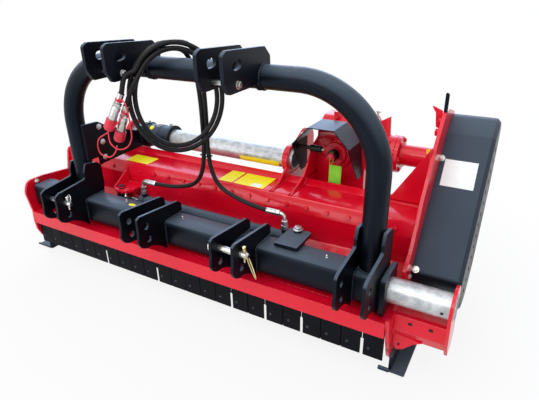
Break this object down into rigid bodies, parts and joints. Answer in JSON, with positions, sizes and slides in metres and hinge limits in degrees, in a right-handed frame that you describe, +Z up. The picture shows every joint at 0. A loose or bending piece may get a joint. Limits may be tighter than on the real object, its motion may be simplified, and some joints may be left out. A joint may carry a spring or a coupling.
{
  "type": "hammer knife mower",
  "caption": "Tractor-mounted side-shift flail mower: folded deck over a hammer rotor, sliding headstock with arch and link plates, gearbox, belt cover, front flaps and rear roller.",
  "frame": {"origin": "middle of the machine's footprint box, on the ground under the skids", "axes": "+X along the machine towards the belt drive, +Y back from the tractor, +Z up"},
  "size_m": [1.911, 0.8327, 1.0019],
  "materials": {
    "red_paint": "gloss",
    "black_paint": "satin",
    "bare_steel": "ground",
    "zinc": "plated",
    "rubber": "matte"
  },
  "bodies": {
    "frame": {"deck": "red_paint", "side_plate_left": "red_paint", "side_plate_right": "red_paint", "front_bar": "red_paint", "flap_rod": "zinc", "skid_left": "black_paint", "skid_right": "black_paint", "outrigger_channel": "red_paint", "tube_end_plate": "red_paint", "front_slide_tube": "bare_steel", "rear_slide_tube": "bare_steel", "rear_tube_bracket": "red_paint", "gearbox_support_left": "red_paint", "gearbox_support_right": "red_paint", "gearbox": "red_paint", "output_housing": "red_paint", "pto_shield": "black_paint", "belt_cover": "black_paint", "belt": "rubber", "rear_flap": "rubber", "roller_bracket_left": "red_paint", "roller_bracket_right": "red_paint", "rod_bracket": "red_paint", "cylinder_rod": "bare_steel"},
    "headstock": {"beam": "black_paint", "link_plate_1": "black_paint", "link_plate_2": "black_paint", "link_plate_3": "black_paint", "link_plate_4": "black_paint", "link_plate_5": "black_paint", "link_plate_6": "black_paint", "link_plate_7": "black_paint", "link_plate_8": "black_paint", "link_pin_left": "zinc", "link_pin_right": "zinc", "arch": "black_paint", "rear_arm": "black_paint", "slide_sleeve": "black_paint", "cylinder_barrel": "black_paint", "hose_a": "rubber", "hose_b": "rubber", "coupler_a": "zinc", "coupler_b": "zinc"},
    "rotor": {"rotor": "black_paint"},
    "belt_shaft": {"upper_pulley": "zinc"},
    "stub": {"pto_shaft": "bare_steel"},
    "roller": {"rear_roller": "black_paint"},
    "flap_1": {"flap_01": "black_paint"},
    "flap_2": {"flap_02": "black_paint"},
    "flap_3": {"flap_03": "black_paint"},
    "flap_4": {"flap_04": "black_paint"},
    "flap_5": {"flap_05": "black_paint"},
    "flap_6": {"flap_06": "black_paint"},
    "flap_7": {"flap_07": "black_paint"},
    "flap_8": {"flap_08": "black_paint"},
    "flap_9": {"flap_09": "black_paint"},
    "flap_10": {"flap_10": "black_paint"},
    "flap_11": {"flap_11": "black_paint"}
  },
  "joints": [
    {"name": "side_shift", "type": "slide", "parent": "frame", "child": "headstock", "axis": [1, 0, 0], "range_m": [0, 0.178]},
    {"name": "rotor_spin", "type": "hinge", "parent": "frame", "child": "rotor", "pos_m": [0, 0.1, 0.195], "axis": [1, 0, 0], "continuous": true},
    {"name": "belt_shaft_spin", "type": "hinge", "parent": "frame", "child": "belt_shaft", "pos_m": [0.75, 0.295, 0.55], "axis": [1, 0, 0], "continuous": true},
    {"name": "stub_spin", "type": "hinge", "parent": "frame", "child": "stub", "pos_m": [0.4045, 0.18, 0.553], "axis": [0, 1, 0], "continuous": true},
    {"name": "roller_spin", "type": "hinge", "parent": "frame", "child": "roller", "pos_m": [0, 0.345, 0.07], "axis": [1, 0, 0], "continuous": true},
    {"name": "flap_hinge_1", "type": "hinge", "parent": "frame", "child": "flap_1", "pos_m": [-0.78554, -0.277, 0.202], "axis": [1, 0, 0], "range_deg": [-10, 80]},
    {"name": "flap_hinge_2", "type": "hinge", "parent": "frame", "child": "flap_2", "pos_m": [-0.64363, -0.277, 0.202], "axis": [1, 0, 0], "range_deg": [-10, 80]},
    {"name": "flap_hinge_3", "type": "hinge", "parent": "frame", "child": "flap_3", "pos_m": [-0.50172, -0.277, 0.202], "axis": [1, 0, 0], "range_deg": [-10, 80]},
    {"name": "flap_hinge_4", "type": "hinge", "parent": "frame", "child": "flap_4", "pos_m": [-0.3598, -0.277, 0.202], "axis": [1, 0, 0], "range_deg": [-10, 80]},
    {"name": "flap_hinge_5", "type": "hinge", "parent": "frame", "child": "flap_5", "pos_m": [-0.21789, -0.277, 0.202], "axis": [1, 0, 0], "range_deg": [-10, 80]},
    {"name": "flap_hinge_6", "type": "hinge", "parent": "frame", "child": "flap_6", "pos_m": [-0.07598, -0.277, 0.202], "axis": [1, 0, 0], "range_deg": [-10, 80]},
    {"name": "flap_hinge_7", "type": "hinge", "parent": "frame", "child": "flap_7", "pos_m": [0.10141, -0.277, 0.202], "axis": [1, 0, 0], "range_deg": [-10, 80]},
    {"name": "flap_hinge_8", "type": "hinge", "parent": "frame", "child": "flap_8", "pos_m": [0.2788, -0.277, 0.202], "axis": [1, 0, 0], "range_deg": [-10, 80]},
    {"name": "flap_hinge_9", "type": "hinge", "parent": "frame", "child": "flap_9", "pos_m": [0.42072, -0.277, 0.202], "axis": [1, 0, 0], "range_deg": [-10, 80]},
    {"name": "flap_hinge_10", "type": "hinge", "parent": "frame", "child": "flap_10", "pos_m": [0.59811, -0.277, 0.202], "axis": [1, 0, 0], "range_deg": [-10, 80]},
    {"name": "flap_hinge_11", "type": "hinge", "parent": "frame", "child": "flap_11", "pos_m": [0.74002, -0.277, 0.202], "axis": [1, 0, 0], "range_deg": [-10, 80]}
  ],
  "couplings": [
    {"joint": "belt_shaft_spin", "follows": "rotor_spin", "ratio": 0.79546},
    {"joint": "stub_spin", "follows": "rotor_spin", "ratio": 0.26515}
  ]
}
